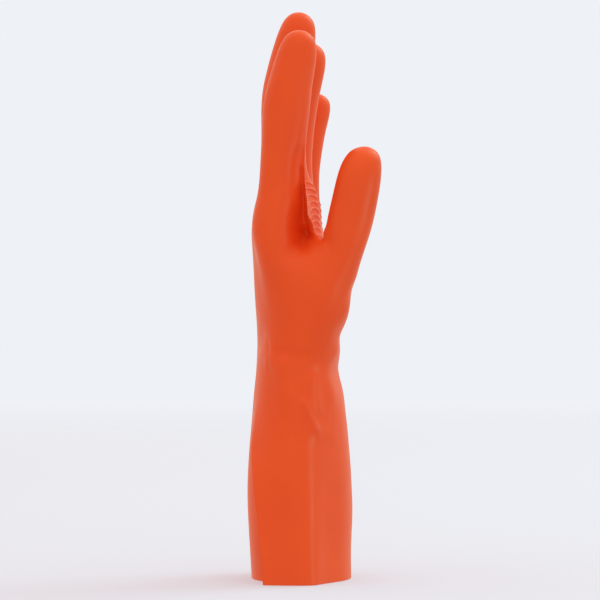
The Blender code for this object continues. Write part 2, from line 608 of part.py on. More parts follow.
def build_ribs(sheet):
    """All the ribs as one helper object of closed strips that stand in the palm's wall."""
    tree = surface_tree(sheet)
    ribs = bmesh.new()
    for number in range(RIB_COUNT):
        line = rib_line(number, tree)
        rings = []
        for index, (hit, normal) in enumerate(line):
            before, after = line[max(0, index - 1)][0], line[min(len(line) - 1, index + 1)][0]
            up = normal.cross((after - before).normalized()).normalized()
            taper = RIB_END_SHARE if index in (0, len(line) - 1) else 1.0
            foot, crest = up * RIB_WIDTH / 2, up * RIB_WIDTH / 2 * RIB_CREST_SHARE
            root, top = normal * RIB_ROOT, normal * RIB_HEIGHT * taper
            corners = [foot - root, crest + top, top - crest, -foot - root]
            rings.append([ribs.verts.new(hit + corner) for corner in corners])
        for low, high in zip(rings, rings[1:]):
            bridge(ribs, low, high)
        if rings:
            ribs.faces.new(rings[0])
            ribs.faces.new(rings[-1])
    bmesh.ops.recalc_face_normals(ribs, faces=ribs.faces)
    mesh = bpy.data.meshes.new("rib_helper")
    ribs.to_mesh(mesh)
    ribs.free()
    helper = bpy.data.objects.new("rib_helper", mesh)
    bpy.context.scene.collection.objects.link(helper)
    helper.hide_render = True
    helper.display_type = "WIRE"
    return helper


def rubber():
    """The glove's orange rubber."""
    material = bpy.data.materials.new("rubber")
    material.use_nodes = True
    surface = material.node_tree.nodes["Principled BSDF"]
    surface.inputs["Base Color"].default_value = RUBBER_COLOUR
    surface.inputs["Roughness"].default_value = RUBBER_ROUGHNESS
    return material


def build_glove():
    """The glove as one object: the sheet thinned out, given its wall, and joined with its ribs."""
    sheet = rounded_sheet()
    ribs = build_ribs(sheet)
    glove = bpy.data.objects.new(GLOVE, sheet)
    bpy.context.scene.collection.objects.link(glove)
    glove.data.materials.append(rubber())
    thin = glove.modifiers.new("thin", "DECIMATE")
    thin.ratio = THINNING
    thin.use_collapse_triangulate = True
    wall = glove.modifiers.new("wall", "SOLIDIFY")
    wall.thickness = WALL
    wall.offset = -1
    wall.use_even_offset = True
    grip = glove.modifiers.new("grip", "BOOLEAN")
    grip.operation = "UNION"
    grip.solver = "EXACT"
    grip.object = ribs
    for face in sheet.polygons:
        face.use_smooth = True
    return glove


def main():
    """Clears the file's objects and builds the glove."""
    for old in list(bpy.data.objects):
        bpy.data.objects.remove(old, do_unlink=True)
    build_glove()


main()
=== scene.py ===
"""The looks of the left-hand chemical-resistant glove: one skin of orange dipped rubber with raised ribs.

Metres, in the frame's own axes: +Z from the cuff up to the fingertips, -Y the thumb side and +X the palm
side. A control cage makes the glove's form, a Subdivision Surface rounds it, folds and a slow waviness
push it, and an inner skin and a rounded rim give it its wall.
"""

import math

import bmesh
import bpy
import numpy as np
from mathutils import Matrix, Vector, noise
from mathutils.bvhtree import BVHTree


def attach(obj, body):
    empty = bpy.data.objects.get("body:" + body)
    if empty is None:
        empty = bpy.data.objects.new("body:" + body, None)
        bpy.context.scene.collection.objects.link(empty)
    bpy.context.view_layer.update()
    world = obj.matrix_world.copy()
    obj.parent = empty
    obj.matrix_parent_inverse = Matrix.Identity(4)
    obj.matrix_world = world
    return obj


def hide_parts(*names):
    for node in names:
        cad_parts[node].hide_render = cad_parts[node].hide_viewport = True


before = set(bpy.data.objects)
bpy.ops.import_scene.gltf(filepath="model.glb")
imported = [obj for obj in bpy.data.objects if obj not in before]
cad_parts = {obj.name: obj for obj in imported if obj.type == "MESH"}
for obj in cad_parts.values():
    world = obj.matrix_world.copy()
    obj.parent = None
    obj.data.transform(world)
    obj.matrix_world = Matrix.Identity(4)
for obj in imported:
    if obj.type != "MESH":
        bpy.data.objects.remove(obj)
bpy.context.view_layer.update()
NODE = "glove_shell"
BODY = "root"

MM = 0.001

WALL = 1.0 * MM

# Lengths along the arm: cuff edge to wrist, wrist to finger crotches, and the fingers from there.
CUFF_LENGTH = 118 * MM
PALM_LENGTH = 108 * MM
INDEX_LENGTH = 82 * MM
MIDDLE_LENGTH = 94 * MM
RING_LENGTH = 81 * MM
LITTLE_LENGTH = 58 * MM

# Widths across the hand (along Y) and depths from back to palm (along X).
CUFF_WIDTH = 86 * MM
CUFF_DEPTH = 57.8 * MM
CUFF_SWELL = 3.8 * MM
WRIST_WIDTH = 74 * MM
WRIST_DEPTH = 46.6 * MM
WRIST_BACKSET = 2.7 * MM
PALM_WIDTH = 94.5 * MM
PALM_DEPTH = 30 * MM
PALM_BACKSET = 9.5 * MM
PALM_CUP = 6.5 * MM
PALM_TURN = math.radians(8.6)
FINGER_PITCH = 23.5 * MM
THENAR_RISE = 10 * MM
THUMB_WEB_RISE = 9 * MM
HEEL_RISE = 6 * MM
KNUCKLE_RISE = 3.2 * MM
PAD_RISE = 2.2 * MM

# Thickness (back to pad) and width (side to side) of each finger at its middle joint.
INDEX_THICKNESS = 24.9 * MM
MIDDLE_THICKNESS = 25.4 * MM
RING_THICKNESS = 24.6 * MM
LITTLE_THICKNESS = 20.6 * MM
FINGER_WIDTH_SHARE = 0.92

# The pleat that runs up from the cuff's edge, and the flat beside it.
PLEAT_DEPTH = 7 * MM
PLEAT_CREASE = 0.6

# Points round a row of the cage, round a finger's ring and round the thumb's. Column 0 runs up the thumb's
# side and FAR_COLUMN up the little finger's. Between them each finger has FINGER_COLUMNS columns on the
# back and as many on the palm's side.
COLUMNS = 26
FAR_COLUMN = COLUMNS // 2
FINGER_COLUMNS = 3
FINGER_SIDES = 8
THUMB_SIDES = 14

# One row for each finger. side: base place across the palm, in pitches from its middle; low: how far its
# base lies below PALM_LENGTH, as a share of it; spread: degrees towards the little finger's side; lean,
# curl: degrees towards the palm's side, at once and from CURL_START on.
FINGERS = [
    dict(name="index", side=-1.53, low=0.00, length=INDEX_LENGTH, thickness=INDEX_THICKNESS,
         spread=-5.0, lean=3.5, curl=10.0),
    dict(name="middle", side=-0.51, low=-0.005, length=MIDDLE_LENGTH, thickness=MIDDLE_THICKNESS,
         spread=-1.5, lean=1.5, curl=11.0),
    dict(name="ring", side=0.51, low=0.005, length=RING_LENGTH, thickness=RING_THICKNESS,
         spread=2.5, lean=3.5, curl=14.0),
    dict(name="little", side=1.47, low=0.045, length=LITTLE_LENGTH, thickness=LITTLE_THICKNESS,
         spread=7.0, lean=5.0, curl=14.0),
]

# Rings up a finger: up is the share of its length, thick the share of its thickness. Its curl comes in
# over CURL_SPAN of its length from CURL_START, and ACROSS_TURN is how far it turns with the palm.
FINGER_ROWS = [
    dict(up=0.11, thick=0.99),
    dict(up=0.23, thick=0.985),
    dict(up=0.36, thick=1.02),
    dict(up=0.50, thick=1.05),
    dict(up=0.64, thick=0.965),
    dict(up=0.77, thick=0.905),
    dict(up=0.885, thick=0.81),
    dict(up=0.965, thick=0.57),
]
TIP_UP = 1.012
CURL_START = 0.36
CURL_SPAN = 0.3
ACROSS_TURN = 0.7

# Rings of the thumb. out, aside, up: a ring's middle from the root, as shares of THUMB_LENGTH along X, Y
# and Z; thick, wide: shares of THUMB_THICKNESS; lean: degrees from upright towards the palm's side. The
# first ring lies THUMB_BLEND of the way from the palm's opening, and THUMB_PHASE lines its points up with
# the opening's.
THUMB_ROOT_OUT = 22.6 * MM
THUMB_ROOT = Vector((THUMB_ROOT_OUT, -0.407 * PALM_WIDTH, CUFF_LENGTH + 0.611 * PALM_LENGTH))
THUMB_LENGTH = 59 * MM
THUMB_THICKNESS = 25 * MM
THUMB_SPREAD = math.radians(15)
THUMB_BLEND = 0.5
THUMB_PHASE = 2.4
THUMB_ROWS = [
    dict(out=0.000, aside=0.000, up=0.000, thick=0.95, wide=1.04, lean=40),
    dict(out=0.031, aside=-0.053, up=0.149, thick=0.99, wide=0.99, lean=24),
    dict(out=0.071, aside=-0.093, up=0.305, thick=1.01, wide=0.96, lean=17),
    dict(out=0.108, aside=-0.127, up=0.475, thick=0.995, wide=0.95, lean=14),
    dict(out=0.143, aside=-0.156, up=0.649, thick=0.98, wide=0.93, lean=11),
    dict(out=0.175, aside=-0.178, up=0.805, thick=0.895, wide=0.85, lean=9),
    dict(out=0.207, aside=-0.192, up=0.922, thick=0.65, wide=0.61, lean=8),
]
THUMB_TIP = dict(out=0.23, aside=-0.198, up=0.998)

# Rows from the cuff's edge to the wrist. rise: share of CUFF_LENGTH; narrow: how far the way from the
# cuff's size to the wrist's; swell, lean, pleat, flat: shares of the sizes of those names; slide: degrees
# that the pleat's columns turn towards the back.
SLEEVE_ROWS = [
    dict(rise=0, narrow=0, swell=0, lean=0.07, pleat=1, flat=1, slide=-4.2),
    dict(rise=0.02, narrow=0, swell=0.03, lean=0.1, pleat=1, flat=1, slide=-4.2),
    dict(rise=0.11, narrow=0, swell=0.15, lean=0.24, pleat=0.92, flat=1, slide=-3.2),
    dict(rise=0.21, narrow=0.02, swell=0.47, lean=0.33, pleat=0.82, flat=1, slide=0),
    dict(rise=0.32, narrow=0.05, swell=0.95, lean=0.37, pleat=0.71, flat=0.95, slide=2.5),
    dict(rise=0.42, narrow=0.1, swell=1, lean=0.48, pleat=0.66, flat=0.95, slide=6.5),
    dict(rise=0.53, narrow=0.17, swell=0.97, lean=0.54, pleat=0.54, flat=0.9, slide=12),
    dict(rise=0.63, narrow=0.28, swell=0.87, lean=0.6, pleat=0.42, flat=0.8, slide=19),
    dict(rise=0.73, narrow=0.45, swell=0.68, lean=0.57, pleat=0.25, flat=0.55, slide=22),
    dict(rise=0.82, narrow=0.62, swell=0.53, lean=0.67, pleat=0.07, flat=0.3, slide=23),
    dict(rise=0.91, narrow=0.8, swell=0.26, lean=0.83, pleat=0, flat=0.1, slide=20),
    dict(rise=1, narrow=1, swell=0, lean=1, pleat=0, flat=0, slide=14),
]

# Rows from the wrist to the finger roots. rise: share of PALM_LENGTH; hand: how far the section has
# turned from the wrist's oval into the hand's; broad: how far the way from the wrist's width to the
# palm's; swell, slide: as in SLEEVE_ROWS; thenar, web, heel, knuckle, pad, groove: shares of those forms.
PALM_ROWS = [
    dict(rise=0.095, hand=0.02, broad=0.02, swell=-0.2, thenar=0.48, web=0, heel=0,
         knuckle=0, pad=0, groove=0, slide=9),
    dict(rise=0.19, hand=0.07, broad=0.09, swell=-0.2, thenar=0.9, web=0, heel=0.25,
         knuckle=0, pad=0, groove=0, slide=6),
    dict(rise=0.29, hand=0.19, broad=0.23, swell=0.25, thenar=1.45, web=0, heel=0.6,
         knuckle=0.3, pad=0, groove=0, slide=3),
    dict(rise=0.4, hand=0.37, broad=0.43, swell=0.65, thenar=1.4, web=0, heel=0.9,
         knuckle=1, pad=0, groove=0, slide=1),
    dict(rise=0.53, hand=0.62, broad=0.65, swell=0.9, thenar=0.8, web=0.3, heel=1,
         knuckle=0.9, pad=0.3, groove=0, slide=0),
    dict(rise=0.675, hand=0.9, broad=0.88, swell=0.6, thenar=0.05, web=0.33, heel=0.75,
         knuckle=1.1, pad=0.8, groove=0, slide=0),
    dict(rise=0.74, hand=0.97, broad=0.95, swell=0, thenar=0, web=0.05, heel=0.35,
         knuckle=1.05, pad=1, groove=0, slide=0),
    dict(rise=0.8, hand=1, broad=1, swell=0, thenar=0, web=0, heel=0.05,
         knuckle=0.6, pad=1, groove=0, slide=0),
    dict(rise=0.86, hand=1, broad=1, swell=0, thenar=0, web=0, heel=0.05,
         knuckle=0.15, pad=1, groove=0.15, slide=0),
    dict(rise=0.935, hand=1, broad=1, swell=0, thenar=0, web=0, heel=0,
         knuckle=0, pad=0.9, groove=1, slide=0),
]

# Outward push of the cuff's columns, as shares of PLEAT_DEPTH: the pleat on the back's thumb side, and
# the flat panels on the thumb's side and beside it.
PLEAT_PUSH = {2: 0.30, 3: 1.00, 4: -0.93, 5: -0.42, 6: -0.12}
FLAT_PUSH = {1: -0.04, 0: -0.1, 25: 0.0, 24: -0.62, 23: -0.85, 22: -0.70, 21: -0.40, 20: -0.15}
PLEAT_COLUMN = 3

# How many columns round from the pleat turn with it, towards the back and towards the thumb's side.
PLEAT_SPAN_BACK = 7.5
PLEAT_SPAN_SIDE = 5.5

# Pushes of the hand's columns towards the palm's side, as shares of the rises of those names: the
# thenar's below the thumb's root, with a share along Y too, the web's between thumb and index finger, the
# heel's, and the pad's below the middle and ring fingers. The heel's loses HEEL_FADE where the section is
# all hand.
THENAR_PUSH = {
    19: (0.05, 0.0), 20: (0.15, 0.05), 21: (0.40, 0.10), 22: (0.75, 0.0),
    23: (1.0, -0.20), 24: (0.95, -0.45), 25: (0.60, -0.60), 0: (0.15, -0.35),
}
WEB_PUSH = {23: 0.30, 24: 0.80, 25: 1.0, 0: 0.35}
HEEL_FADE = 0.4
HEEL_PUSH = {14: 0.45, 15: 0.85, 16: 1.0, 17: 0.95, 18: 0.7, 19: 0.4, 20: 0.2}
PAD_PUSH = {23: 0.3, 22: 0.8, 21: 1.0, 20: 1.0, 19: 0.95, 18: 0.8, 17: 0.5, 16: 0.1, 15: -0.15, 14: -0.2}

# The thumb's opening in the palm, as columns and rows of PALM_ROWS.
THUMB_COLUMNS = (21, 22, 23, 24, 25)
THUMB_LOW_ROW, THUMB_HIGH_ROW = 2, 5

# The crotch between two fingers: the web's rise over the palm's top row, and its width. The hand's
# section dips by GROOVE_SHARE between fingers and by EDGE_ROUNDING of that at its two edges all the way,
# and its knuckles fall to KNUCKLE_SIDE_SHARE beside each finger's middle.
WEB_RISE = 12 * MM
WEB_GAP = 2.4 * MM
GROOVE_SHARE = 0.24
EDGE_ROUNDING = 0.75
KNUCKLE_SIDE_SHARE = 0.4

# Soft folds and dents in the worn rubber, each along a line on one side of the glove. across: the line's
# two ends, as shares of WRIST_DEPTH on the thumb's and little finger's sides and of WRIST_WIDTH on the
# other two; up: their heights as shares of CUFF_LENGTH; rise: shares of FOLD_DEPTH outward, or inward
# when negative; reach: the fold's half width as a share of WRIST_DEPTH.
FOLD_DEPTH = 1.0 * MM
FOLD_SIDES = {
    "thumb": Vector((0, -1, 0)), "little": Vector((0, 1, 0)),
    "palm": Vector((1, 0, 0)), "back": Vector((-1, 0, 0)),
}
FOLDS = [
    dict(side="thumb", across=(-0.2, 0.0), up=(1.085, 1.075), rise=-0.7, reach=0.09),
    dict(side="thumb", across=(0.15, 0.06), up=(1.095, 0.985), rise=-0.7, reach=0.09),
    dict(side="thumb", across=(-0.39, -0.21), up=(1.045, 1.015), rise=1, reach=0.1),
    dict(side="thumb", across=(-0.25, -0.15), up=(0.99, 0.88), rise=0.8, reach=0.1),
    dict(side="thumb", across=(-0.38, -0.32), up=(0.915, 0.845), rise=-0.5, reach=0.13),
    dict(side="thumb", across=(0.02, 0.17), up=(0.84, 0.71), rise=0.8, reach=0.09),
    dict(side="thumb", across=(0.21, 0.23), up=(0.9, 0.83), rise=-0.7, reach=0.11),
    dict(side="thumb", across=(0.31, 0.36), up=(1, 0.89), rise=0.7, reach=0.13),
    dict(side="thumb", across=(-0.02, 0.06), up=(1.51, 1.27), rise=-0.8, reach=0.15),
    dict(side="palm", across=(-0.42, -0.27), up=(1.17, 1.145), rise=-0.5, reach=0.11),
    dict(side="palm", across=(-0.45, -0.3), up=(1.27, 1.235), rise=0.9, reach=0.13),
    dict(side="palm", across=(-0.47, -0.35), up=(1.38, 1.365), rise=-0.8, reach=0.11),
    dict(side="palm", across=(-0.05, 0.19), up=(1.12, 1.1), rise=-0.5, reach=0.11),
    dict(side="palm", across=(-0.3, 0.1), up=(1.085, 1.075), rise=1.2, reach=0.13),
    dict(side="palm", across=(-0.3, 0.15), up=(0.985, 0.955), rise=-0.8, reach=0.16),
    dict(side="palm", across=(0.24, 0.41), up=(1.01, 0.915), rise=-1, reach=0.15),
    dict(side="palm", across=(-0.03, 0.14), up=(0.95, 0.845), rise=0.8, reach=0.15),
    dict(side="back", across=(0.11, 0.32), up=(0.985, 1.05), rise=-1.1, reach=0.13),
    dict(side="back", across=(-0.27, -0.08), up=(1.155, 1.1), rise=-0.8, reach=0.13),
    dict(side="little", across=(-0.21, 0.17), up=(1.035, 1.085), rise=-1.2, reach=0.12),
    dict(side="little", across=(0, 0.21), up=(0.93, 0.82), rise=1, reach=0.13),
]

# The skin between the thumb and the index finger: its free edge stands up, a hollow lies before it on
# the finger's root, and the palm's pad beside it is round. low, high: the ends of a line, as shares of
# THUMB_THICKNESS from THUMB_ROOT; push: along X, Y and Z, as shares of FOLD_DEPTH; reach: a share of
# THUMB_THICKNESS.
WEB_FOLDS = [
    dict(low=(-0.5, 0.03, 0.26), high=(-0.73, -0.02, 0.56), push=(1.9, 0, 2.0), reach=0.16),
    dict(low=(-0.42, 0.02, 0.28), high=(-0.35, 0.08, 0.32), push=(0, 0, 2.0), reach=0.15),
    dict(low=(-1.0, -0.2, 2.1), high=(-0.97, -0.2, 0.55), push=(0, 2.6, 0), reach=0.21),
    dict(low=(-0.92, -0.26, 0.46), high=(-0.7, -0.3, 0.37), push=(0, 3.6, 0), reach=0.18),
    dict(low=(-1.12, -0.35, 0.02), high=(-0.95, -0.3, 0.42), push=(0, 1.6, 0), reach=0.24),
    dict(low=(-1.04, -0.35, 0.2), high=(-1.0, -0.3, 1.4), push=(0, 2.6, 0), reach=0.5),
    dict(low=(-0.93, -0.35, 0.18), high=(-0.9, -0.3, 0.75), push=(0, 5.5, 0), reach=0.27),
    dict(low=(-0.88, -0.3, 0.75), high=(-0.86, -0.28, 1.3), push=(0, 2.8, 0), reach=0.17),
    dict(low=(-0.62, 1.05, 0.1), high=(-0.68, 1.05, 1.35), push=(3.4, 0, 0), reach=0.3),
]

# Raised grip ribs in the palm: wavy lines one above the other, RIB_ARC high, with a crest at RIB_CREST
# and at every RIB_WAVE from it. They run over RIB_REACH on both sides of RIB_MIDDLE, as far as the palm
# faces forward by RIB_FACING, and stay RIB_THUMB_GAP behind the thumb's root. RIB_STEPS places are tried
# along each.
RIB_COUNT = 14
RIB_TOP = CUFF_LENGTH + 0.972 * PALM_LENGTH
RIB_PITCH = 3.65 * MM
RIB_HEIGHT = 0.5 * MM
RIB_WIDTH = 1.6 * MM
RIB_ARC = 3.6 * MM
RIB_WAVE = 0.24 * PALM_WIDTH
RIB_CREST = -0.2 * PALM_WIDTH
RIB_MIDDLE = 0.05 * PALM_WIDTH
RIB_REACH = 0.46 * PALM_WIDTH
RIB_THUMB_GAP = 3.6 * MM
RIB_FACING = 0.6
RIB_STEPS = 109

# A distance from the middle of the arm that is outside the glove on every side.
FAR_OUTSIDE = 2 * PALM_WIDTH

# Folds too fine for the solid, in the same columns as FOLDS and WEB_FOLDS.
FINE_FOLDS = [
    dict(side="thumb", across=(0.02, 0.16), up=(0.85, 0.725), rise=0.9, reach=0.04),
    dict(side="thumb", across=(0.17, 0.36), up=(0.725, 0.7), rise=0.35, reach=0.08),
    dict(side="thumb", across=(-0.28, 0.04), up=(1.085, 1.06), rise=-0.6, reach=0.05),
    dict(side="thumb", across=(-0.415, -0.39), up=(1.14, 1.0), rise=-0.4, reach=0.04),
    dict(side="thumb", across=(0.13, 0.19), up=(0.95, 0.83), rise=1.4, reach=0.1),
]
FINE_WEB_FOLDS = [
    dict(low=(-0.88, -0.25, 1.3), high=(-0.87, -0.25, 1.8), push=(0, 1.4, 0), reach=0.15),
    dict(low=(-0.89, -0.17, 1.8), high=(-0.845, -0.18, 0.45), push=(0, 2.5, 0), reach=0.09),
    dict(low=(-0.91, -0.17, 2.6), high=(-0.9, -0.17, 2.0), push=(0, 1.0, 0), reach=0.1),
    dict(low=(-0.79, 0.02, 1.4), high=(-0.77, -0.02, 0.5), push=(0, -6.0, 0), reach=0.06),
    dict(low=(-0.9, -0.3, 0.2), high=(-0.78, -0.25, 0.40), push=(0, 6.0, 0), reach=0.14),
    dict(low=(-0.71, -0.2, 0.66), high=(-0.7, -0.25, 0.40), push=(0, 5.0, 0), reach=0.09),
    dict(low=(-0.48, -0.06, 0.30), high=(-0.47, 0.14, 0.32), push=(0, 0, -4.5), reach=0.07),
    dict(low=(-0.36, -0.25, 0.1), high=(-0.36, -0.25, 0.4), push=(-1.6, 0, 0), reach=0.13),
]

# How finely the two skins and the mouth's rim are rounded, and the skins' slow waviness.
OUTER_LEVELS = 3
INNER_LEVELS = 2
RIM_STEPS = 6
WAVE_HEIGHT = 0.16 * MM
WAVE_LENGTH = 22 * MM

# A rib's rounded profile: its points across, its half width as a share of RIB_WIDTH, how far its edges
# sink in, and the steps of its fading ends.
PROFILE_POINTS = 7
PROFILE_REACH = 0.65
PROFILE_SINK = 0.07 * MM
RIB_FADE = 5

# The photograph's view: the camera's place and the width of the picture at the glove, in metres.
CAMERA_PLACE = Vector((-0.00113, -1.6, 0.157))
PICTURE_WIDTH = 0.3396
SENSOR = 36.0

# The rubber: its tone drifts between two oranges from TONE_ENDS of a noise, and its gloss between two
# values of ROUGHNESS. The dipped grain is a fine noise on DRIFT_SHARE of a slower one. The scales are
# noise cells in a metre.
DARK_ORANGE = (0.855, 0.066, 0.0095, 1)
LIGHT_ORANGE = (0.91, 0.076, 0.0115, 1)
TONE_ENDS = (0.3, 0.7)
ROUGHNESS = (0.38, 0.50)
SPECULAR = 0.26
SPECULAR_TINT = (0.3, 1.0, 0.85, 1)
TONE_SCALE = 28
GLOSS_SCALE = 60
GRAIN_SCALE = 1400
DRIFT_SCALE = 160
DRIFT_SHARE = 3.0
BUMP_STRENGTH = 0.25
BUMP_DISTANCE = 0.04 * MM

# The floor, which fades out between two distances, and the pale surround, in metres.
FLOOR_COLOUR = (0.45, 0.37, 0.45, 1)
FLOOR_ROUGHNESS = 0.9
FLOOR_GLOW = 0.36
FLOOR_FADE = (0.8, 3.0)
FLOOR_HEIGHT = -0.6 * MM
FLOOR_SIDES = 96
SURROUND = (0.855, 0.880, 0.925, 1)
SURROUND_RADIUS = 8.0
SURROUND_LEVELS = 4

# The room's light: its level, what it gains behind the glove and above it, and what it loses at the
# sides. Then the lights: name, place, size, power in watts, colour, and whether they light more than gloss.
ROOM_COLOUR = (0.93, 1.0, 0.86, 1)
ROOM_LEVEL, ROOM_BACK, ROOM_TOP, ROOM_SIDE = 1.08, 0.08, 0.25, 0.36
LIGHTS = [
    ("right_above", (1.6, 0.9, 1.9), 1.6, 24, (0.4, 1.0, 0.9), True),
    ("right_low", (0.472, -0.255, 0.03), 0.1, 0.7, (0.6, 1.0, 0.9), False),
]


def mix(a, b, share):
    """The value that lies a share of the way from a to b."""
    return a + (b - a) * share


def ease(share):
    """A share from 0 to 1 that starts and ends gently."""
    return share * share * (3 - 2 * share)


def ring_gain(sides):
    """How much larger a cage ring is than the round surface that it makes."""
    return 3 / (2 + math.cos(2 * math.pi / sides))


def column_angle(column, slide):
    """Angle of a column round the oval, 0 at the thumb side and 90 at the back, in radians."""
    angle = 360 / COLUMNS * column
    reach = column - PLEAT_COLUMN if column < COLUMNS / 2 else column - COLUMNS - PLEAT_COLUMN
    span = PLEAT_SPAN_BACK if reach > 0 else PLEAT_SPAN_SIDE
    share = max(0.0, 1 - abs(reach) / span)
    return math.radians(angle + slide * ease(share))


def oval_point(column, width, depth, centre, slide, push):
    """A column's place on the forearm's oval, pushed outward by push."""
    angle = column_angle(column, slide)
    x, y = -math.sin(angle) * depth / 2, -math.cos(angle) * width / 2
    outward = Vector((x / depth, y / width)).normalized()
    return Vector((centre + x + outward.x * push, y + outward.y * push))


def hand_middle(y):
    """X of the hand's middle surface at y: turned towards the thumb side and cupped."""
    return math.tan(PALM_TURN) * y + PALM_CUP * (2 * y / PALM_WIDTH) ** 2 - PALM_BACKSET


def finger_base_y(finger):
    """Y of a finger's middle at its base."""
    return finger["side"] * FINGER_PITCH


def finger_base_half(finger):
    """Half the width of a finger's base in the cage."""
    return finger["thickness"] * FINGER_WIDTH_SHARE / 2 * ring_gain(FINGER_SIDES)


def finger_of(column):
    """The finger that a column runs into, its place on it (-1, 0, 1) and the sign of its X side."""
    sign = -1 if column < FAR_COLUMN else 1
    steps = column - 1 if sign < 0 else COLUMNS - 1 - column
    return steps // FINGER_COLUMNS, steps % FINGER_COLUMNS - 1, sign


def hand_point(column, groove, knuckle):
    """A column's place in the hand's own section."""
    if column in (0, FAR_COLUMN):
        finger = FINGERS[0 if column == 0 else -1]
        half = finger_base_half(finger)
        y = finger_base_y(finger) + (-half if column == 0 else half)
        return Vector((hand_middle(y), y))
    number, place, sign = finger_of(column)
    finger = FINGERS[number]
    y = finger_base_y(finger) + place * finger_base_half(finger) * math.sqrt(0.5)
    half = PALM_DEPTH / 2 * finger["thickness"] / MIDDLE_THICKNESS
    half = mix(half, finger["thickness"] / 2 * ring_gain(FINGER_SIDES), groove)
    at_edge = (number, place) in ((0, -1), (len(FINGERS) - 1, 1))
    if place:
        half *= 1 - GROOVE_SHARE * max(groove, EDGE_ROUNDING if at_edge else 0.0)
    if sign < 0:
        half += KNUCKLE_RISE * knuckle * (1.0 if place == 0 else KNUCKLE_SIDE_SHARE)
    return Vector((hand_middle(y) + sign * half, y))


def sleeve_row(row):
    """The points of a row between the cuff's edge and the wrist."""
    width = mix(CUFF_WIDTH, WRIST_WIDTH, row["narrow"])
    depth = mix(CUFF_DEPTH, WRIST_DEPTH, row["narrow"]) + CUFF_SWELL * row["swell"]
    points = []
    for column in range(COLUMNS):
        push = PLEAT_DEPTH * row["pleat"] * PLEAT_PUSH.get(column, 0)
        push += PLEAT_DEPTH * row["flat"] * FLAT_PUSH.get(column, 0)
        at = oval_point(column, width, depth, -WRIST_BACKSET * row["lean"], row["slide"], push)
        points.append(Vector((at.x, at.y, CUFF_LENGTH * row["rise"])))
    return points


def palm_row(row):
    """The points of a row between the wrist and the finger roots."""
    width = mix(WRIST_WIDTH, PALM_WIDTH, row["broad"])
    depth = WRIST_DEPTH + CUFF_SWELL * row["swell"]
    points = []
    for column in range(COLUMNS):
        oval = oval_point(column, width, depth, -WRIST_BACKSET, row["slide"], 0)
        at = oval.lerp(hand_point(column, row["groove"], row["knuckle"]), row["hand"])
        push = Vector(THENAR_PUSH.get(column, (0, 0))) * THENAR_RISE * row["thenar"]
        push.x += THUMB_WEB_RISE * row["web"] * WEB_PUSH.get(column, 0)
        push.x += HEEL_RISE * row["heel"] * (1 - row["hand"] * HEEL_FADE) * HEEL_PUSH.get(column, 0)
        push.x += PAD_RISE * row["pad"] * PAD_PUSH.get(column, 0)
        low = 0.0
        if row["groove"] == 1.0 and column not in (0, FAR_COLUMN):
            low = FINGERS[finger_of(column)[0]]["low"]
        elif column == FAR_COLUMN:
            low = FINGERS[-1]["low"] * row["groove"]
        z = CUFF_LENGTH + PALM_LENGTH * (row["rise"] - low)
        points.append(Vector((at.x + push.x, at.y + push.y, z)))
    return points


def finger_frame(finger, share, at):
    """The finger's own directions at a share of its length: along it, across it and to its pad."""
    bend = min(1.0, max(0.0, (share - CURL_START) / CURL_SPAN))
    towards_palm = math.radians(finger["lean"] + finger["curl"] * ease(bend))
    spread = math.radians(finger["spread"])
    along = Vector((math.sin(towards_palm), math.sin(spread), math.cos(towards_palm) * math.cos(spread)))
    along.normalize()
    slope = (hand_middle(at + MM) - hand_middle(at - MM)) / (2 * MM)
    across = Vector((slope * ACROSS_TURN, 1, 0))
    across -= along * across.dot(along)
    across.normalize()
    return along, across, across.cross(along)


def finger_ring(centre, across, pad, thickness, width):
    """The points of a ring, from its low-Y side over the back to the other side and the pad."""
    gain = ring_gain(FINGER_SIDES) / 2
    points = []
    for step in range(FINGER_SIDES):
        angle = 2 * math.pi * step / FINGER_SIDES
        side, back = math.cos(angle) * width * gain, math.sin(angle) * thickness * gain
        points.append(centre - across * side - pad * back)
    return points


def add_ring(mesh, points):
    """New vertices at the points, in their order."""
    return [mesh.verts.new(point) for point in points]


def bridge(mesh, low, high):
    """Quads between two closed rings with the same number of points."""
    for step in range(len(low)):
        after = (step + 1) % len(low)
        mesh.faces.new((low[step], low[after], high[after], high[step]))


def cap(mesh, ring, tip):
    """Quads from a ring with an even number of points to one point."""
    centre = mesh.verts.new(tip)
    for step in range(0, len(ring), 2):
        mesh.faces.new((ring[step], ring[step + 1], ring[(step + 2) % len(ring)], centre))


def build_finger(mesh, number, base):
    """Rings from a finger's base loop to its tip."""
    finger = FINGERS[number]
    y = finger_base_y(finger)
    root = Vector((hand_middle(y), y, CUFF_LENGTH + PALM_LENGTH * (1 - finger["low"])))
    before, ring, at = 0.0, base, root
    for row in FINGER_ROWS:
        along, across, pad = finger_frame(finger, (before + row["up"]) / 2, y)
        at = at + along * (finger["length"] * (row["up"] - before))
        thickness = finger["thickness"] * row["thick"]
        points = finger_ring(at, across, pad, thickness, thickness * FINGER_WIDTH_SHARE)
        after = add_ring(mesh, points)
        bridge(mesh, ring, after)
        before, ring = row["up"], after
    along, across, pad = finger_frame(finger, 1.0, y)
    cap(mesh, ring, at + along * (finger["length"] * (TIP_UP - before)))


